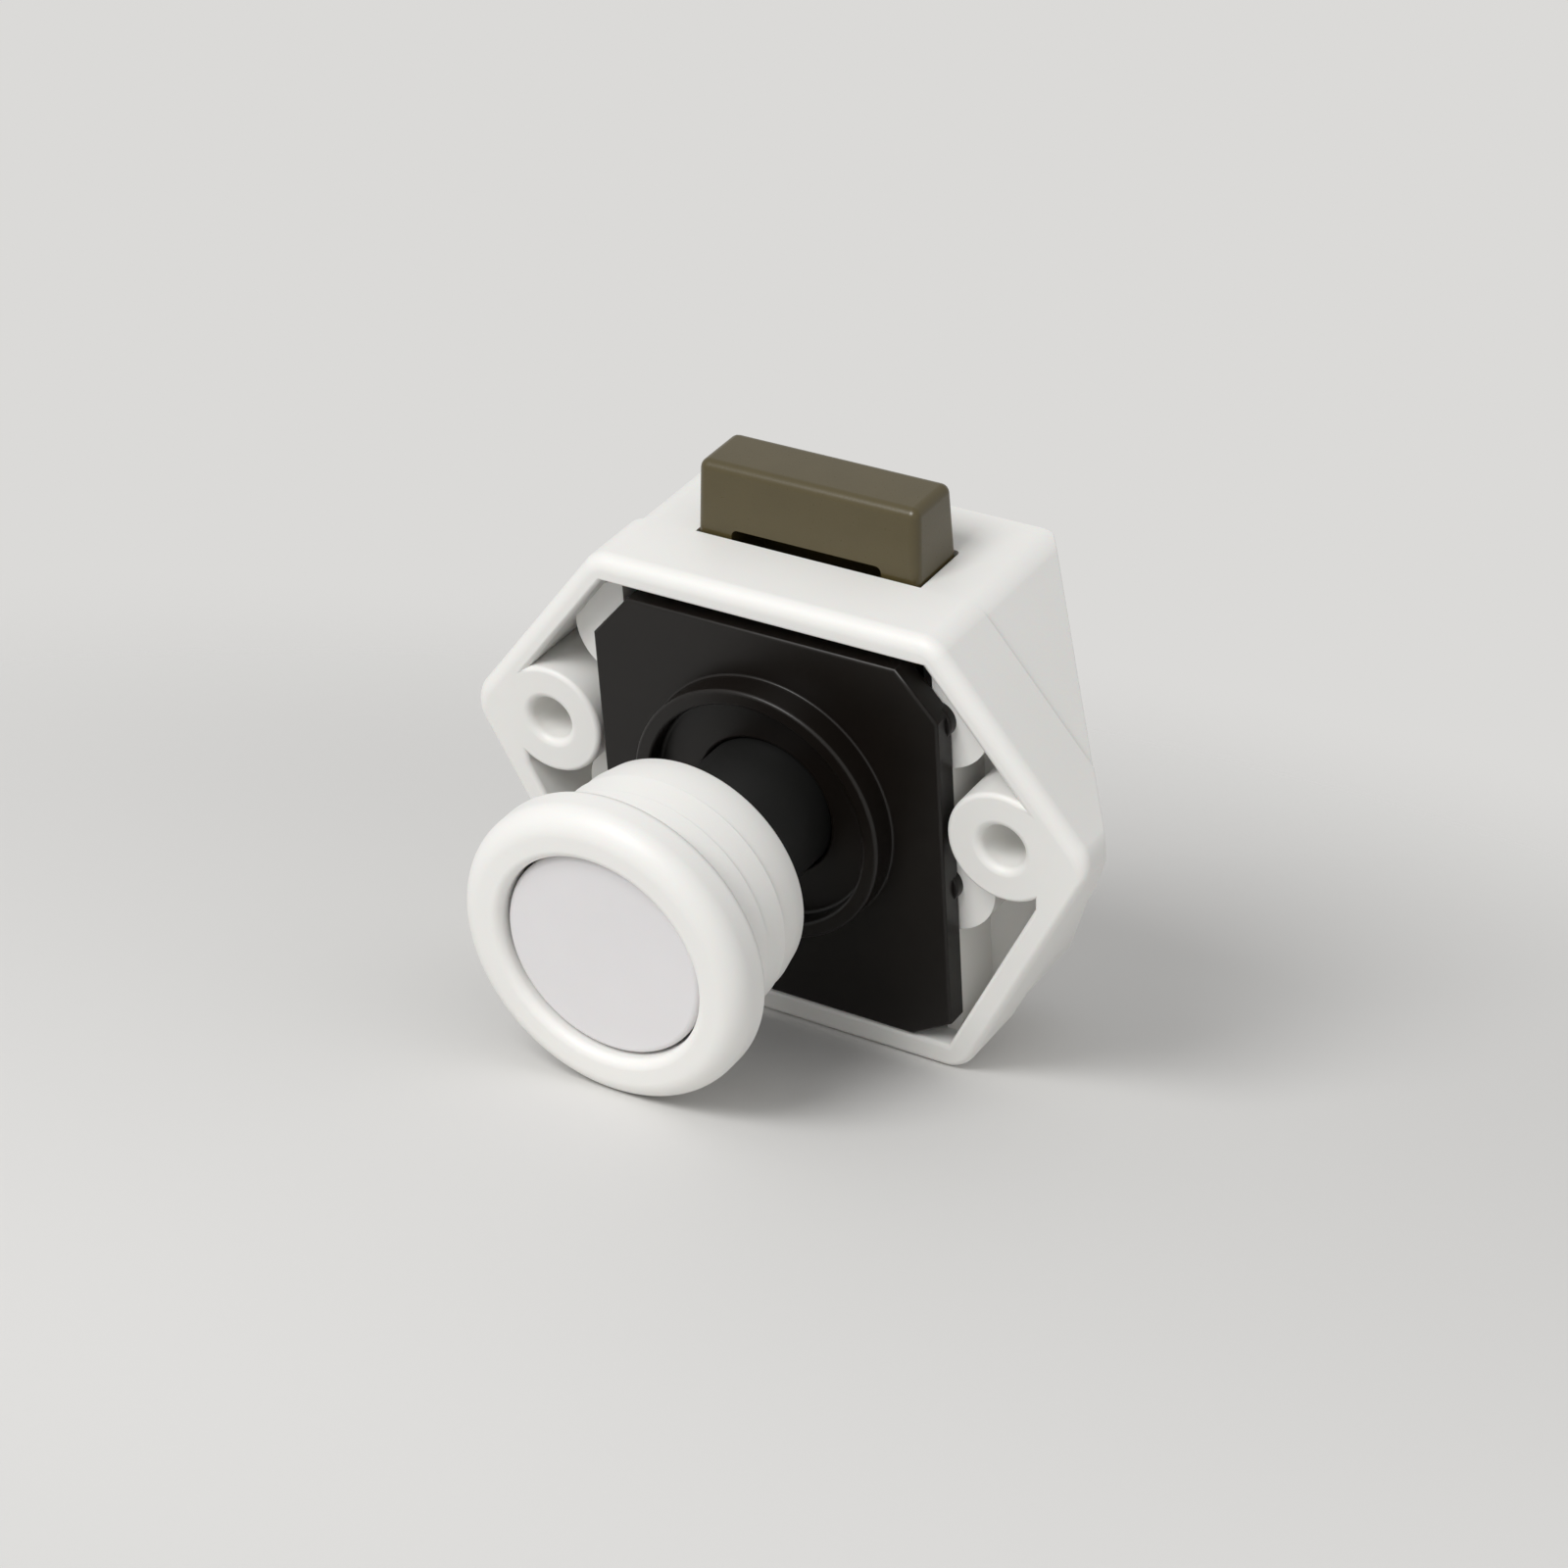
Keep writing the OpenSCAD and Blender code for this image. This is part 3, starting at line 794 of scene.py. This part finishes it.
# Moulded plastic: faint flow clouds in the colour, spark-eroded grain in the gloss and the bump.
# The real grain is finer than 0.1 mm. Here it is about 0.2 mm, as coarse as it needs to show
def mouldedPlastic(name, look):
    material, tree, place = startMaterial(name)
    flow = addNode(
        tree, "ShaderNodeTexNoise", {"Scale": perMetre(look["flow"]), "Detail": 3.0, "Roughness": 0.5},
        {"Vector": place},
    )
    tint = addNode(tree, "ShaderNodeMix", {"data_type": "RGBA"}, {"Factor": flow.outputs["Fac"]})
    tint.inputs[mixA].default_value = hexColour(look["colour"])
    tint.inputs[mixB].default_value = hexColour(look["cloud"])
    grain = addNode(
        tree, "ShaderNodeTexNoise", {"Scale": perMetre(look["grain"]), "Detail": 2.0, "Roughness": 0.6},
        {"Vector": place},
    )
    gloss = addNode(
        tree, "ShaderNodeMapRange",
        {"To Min": look["roughness"] - look["glossSpread"], "To Max": look["roughness"] + look["glossSpread"]},
        {"Value": grain.outputs["Fac"]},
    )
    bump = addNode(
        tree, "ShaderNodeBump", {"Strength": look["grainStrength"], "Distance": look["grainDepth"] * mm},
        {"Height": grain.outputs["Fac"]},
    )
    shader = addNode(
        tree, "ShaderNodeBsdfPrincipled",
        {
            "IOR": look["ior"],
            "Subsurface Weight": look.get("glow", 0.0), "Subsurface Scale": glowReach * mm,
        },
        {
            "Base Color": tint.outputs[mixOut], "Roughness": gloss.outputs["Result"],
            "Normal": bump.outputs["Normal"],
        },
    )
    addNode(tree, "ShaderNodeOutputMaterial", {}, {"Surface": shader.outputs["BSDF"]})
    return material


# White ABS: clean, slightly warm, soft broad highlights from a fine satin tool finish
whiteAbs = mouldedPlastic("whiteAbs", {
    "colour": "#EFEEEB", "cloud": "#E9E8E4", "flow": 14.0, "grain": 0.22, "grainStrength": 0.12,
    "grainDepth": 0.03, "roughness": 0.46, "glossSpread": 0.05, "ior": 1.53, "glow": 0.08,
})
# Cap ABS: a cooler white than the ring round it, a little more matt
capAbs = mouldedPlastic("capAbs", {
    "colour": "#E2E0E1", "cloud": "#DDDBDC", "flow": 9.0, "grain": 0.25, "grainStrength": 0.14,
    "grainDepth": 0.03, "roughness": 0.48, "glossSpread": 0.05, "ior": 1.53, "glow": 0.05,
})
# Black nylon: deep satin black with a warm cast, glass fibre makes the gloss uneven
blackNylon = mouldedPlastic("blackNylon", {
    "colour": "#120D09", "cloud": "#0D0906", "flow": 5.0, "grain": 0.20, "grainStrength": 0.16,
    "grainDepth": 0.03, "roughness": 0.36, "glossSpread": 0.07, "ior": 1.40,
})
# Black acetal: the stem is duller than the plate, with a waxy sheen
blackAcetal = mouldedPlastic("blackAcetal", {
    "colour": "#171716", "cloud": "#111110", "flow": 6.0, "grain": 0.18, "grainStrength": 0.12,
    "grainDepth": 0.03, "roughness": 0.52, "glossSpread": 0.06, "ior": 1.48,
})
# Olive nylon: khaki, satin, clouded, with the fine mottling of a filled resin
oliveNylon = mouldedPlastic("oliveNylon", {
    "colour": "#514729", "cloud": "#494024", "flow": 4.0, "grain": 0.24, "grainStrength": 0.16,
    "grainDepth": 0.03, "roughness": 0.30, "glossSpread": 0.06, "ior": 1.53,
})


# Drawn steel: the die's marks make gloss and colour uneven.
# Real marks are finer than 0.1 mm. Here they are as coarse as they need to show
def drawnSteel(name, look):
    material, tree, place = startMaterial(name)
    marks = addNode(
        tree, "ShaderNodeTexNoise", {"Scale": perMetre(look["marks"]), "Detail": 4.0}, {"Vector": place}
    )
    gloss = addNode(
        tree, "ShaderNodeMapRange", {"To Min": look["brightest"], "To Max": look["dullest"]},
        {"Value": marks.outputs["Fac"]},
    )
    tint = addNode(tree, "ShaderNodeMix", {"data_type": "RGBA"}, {"Factor": marks.outputs["Fac"]})
    tint.inputs[mixA].default_value = hexColour(look["colour"])
    tint.inputs[mixB].default_value = hexColour(look["shade"])
    shader = addNode(
        tree, "ShaderNodeBsdfPrincipled", {"Metallic": 1.0},
        {"Base Color": tint.outputs[mixOut], "Roughness": gloss.outputs["Result"]},
    )
    addNode(tree, "ShaderNodeOutputMaterial", {}, {"Surface": shader.outputs["BSDF"]})
    return material


# Spring steel: bright grey wire with sharp highlights
springSteel = drawnSteel("springSteel", {
    "colour": "#C3C5C6", "shade": "#A9ABAC", "marks": 0.3, "brightest": 0.22, "dullest": 0.42,
})


def dress(piece, material):
    piece.data.materials.clear()
    piece.data.materials.append(material)


for piece, material, body, node, slot in (
    (housing, whiteAbs, "case", "housing", "white_plastic"),
    (coverPlate, blackNylon, "case", "cover_plate", "black_plastic"),
    (rosette, whiteAbs, "case", "rosette", "white_plastic"),
    (buttonCap, capAbs, "button", "button", "cap_plastic"),
    (pushRod, blackAcetal, "button", "push_rod", "black_plastic"),
    (latchBolt, oliveNylon, "bolt", "latch_bolt", "olive_plastic"),
):
    dress(piece, material)
    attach(piece, body)
    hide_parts(node)
# the spring is attached to no body: its place goes into its mesh
dress(returnSpring, springSteel)
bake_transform(returnSpring)
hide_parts("return_spring")
dress(frame["nodes"]["cam_follower"], springSteel)
print("materials set")


# Floor: the latch lies on the ring's edge and the case's lower edge, so the floor is tilted
floor = {
    "tilt": 19.47, "drop": 22.8, "radius": 190.0, "fadeFrom": 70.0, "fadeTo": 170.0,
    "colour": "#E2E1DF", "roughness": 0.7,
}


def makeFloor():
    tilt = math.radians(floor["tilt"])
    up = Vector((0, math.sin(tilt), math.cos(tilt)))
    bpy.ops.object.select_all(action="DESELECT")
    bpy.ops.mesh.primitive_circle_add(
        vertices=96, radius=floor["radius"] * mm, fill_type="NGON",
        location=up * -floor["drop"] * mm, rotation=(-tilt, 0, 0),
    )
    piece = settle("floor")
    material, tree, place = startMaterial("paleFloor")
    away = addNode(tree, "ShaderNodeVectorMath", {"operation": "LENGTH"}, {0: place})
    fade = addNode(
        tree, "ShaderNodeMapRange",
        {
            "interpolation_type": "SMOOTHSTEP",
            "From Min": floor["fadeFrom"] * mm, "From Max": floor["fadeTo"] * mm,
        },
        {"Value": away.outputs["Value"]},
    )
    paint = addNode(
        tree, "ShaderNodeBsdfPrincipled",
        {"Base Color": hexColour(floor["colour"]), "Roughness": floor["roughness"]},
    )
    clear = addNode(tree, "ShaderNodeBsdfTransparent")
    edge = addNode(
        tree, "ShaderNodeMixShader", {},
        {0: fade.outputs["Result"], 1: paint.outputs["BSDF"], 2: clear.outputs["BSDF"]},
    )
    addNode(tree, "ShaderNodeOutputMaterial", {}, {"Surface": edge.outputs["Shader"]})
    dress(piece, material)


makeFloor()


# Light: a pale world, a broad lamp above to the left and a weak fill from the right
light = {
    "world": 0.50, "background": "#DBDAD8",
    "lamps": (
        {"name": "keyLamp", "place": (-80, -330, 520), "size": 280, "power": 2.35},
        {"name": "fillLamp", "place": (420, -300, 120), "size": 400, "power": 0.06},
    ),
}


def makeLight():
    world = bpy.data.worlds.new("paleStudio")
    bpy.context.scene.world = world
    world.use_nodes = True
    tree = world.node_tree
    tree.nodes.clear()
    path = addNode(tree, "ShaderNodeLightPath")
    seen = path.outputs["Is Camera Ray"]
    for ray in ("Is Glossy Ray", "Is Transmission Ray"):
        seen = addNode(
            tree, "ShaderNodeMath", {"operation": "MAXIMUM"}, {0: seen, 1: path.outputs[ray]}
        ).outputs[0]
    soft = addNode(tree, "ShaderNodeBackground", {"Color": (1, 1, 1, 1), "Strength": light["world"]})
    back = addNode(tree, "ShaderNodeBackground", {"Color": hexColour(light["background"]), "Strength": 1.0})
    both = addNode(
        tree, "ShaderNodeMixShader", {},
        {0: seen, 1: soft.outputs["Background"], 2: back.outputs["Background"]},
    )
    addNode(tree, "ShaderNodeOutputWorld", {}, {"Surface": both.outputs["Shader"]})
    for lamp in light["lamps"]:
        place = Vector(lamp["place"]) * mm
        bpy.ops.object.select_all(action="DESELECT")
        bpy.ops.object.light_add(
            type="AREA", location=place, rotation=(-place).to_track_quat("-Z", "Y").to_euler()
        )
        lampObject = bpy.context.active_object
        lampObject.name = lamp["name"]
        lampObject.data.size = lamp["size"] * mm
        lampObject.data.energy = lamp["power"]


makeLight()


# Camera: the photograph's own place, aim, roll and angle of view
camera = {
    "place": (176.46, -260.87, 203.81), "aim": (1.7, 0.0, 2.35), "roll": -3.96, "view": 21.63,
    "nearest": 10, "furthest": 10000,
}


def makeCamera():
    place, aim = Vector(camera["place"]) * mm, Vector(camera["aim"]) * mm
    bpy.ops.object.select_all(action="DESELECT")
    bpy.ops.object.camera_add(location=place)
    cameraObject = bpy.context.active_object
    cameraObject.name = "photoCamera"
    roll = Matrix.Rotation(math.radians(camera["roll"]), 3, "Z")
    turn = (aim - place).to_track_quat("-Z", "Y").to_matrix() @ roll
    cameraObject.matrix_world = Matrix.LocRotScale(place, turn, None)
    cameraObject.data.sensor_fit = "AUTO"
    cameraObject.data.angle = math.radians(camera["view"])
    cameraObject.data.clip_start = camera["nearest"] * mm
    cameraObject.data.clip_end = camera["furthest"] * mm
    bpy.context.scene.camera = cameraObject


makeCamera()
bpy.context.scene.view_settings.view_transform = "Standard"
print("stage, light and camera set")
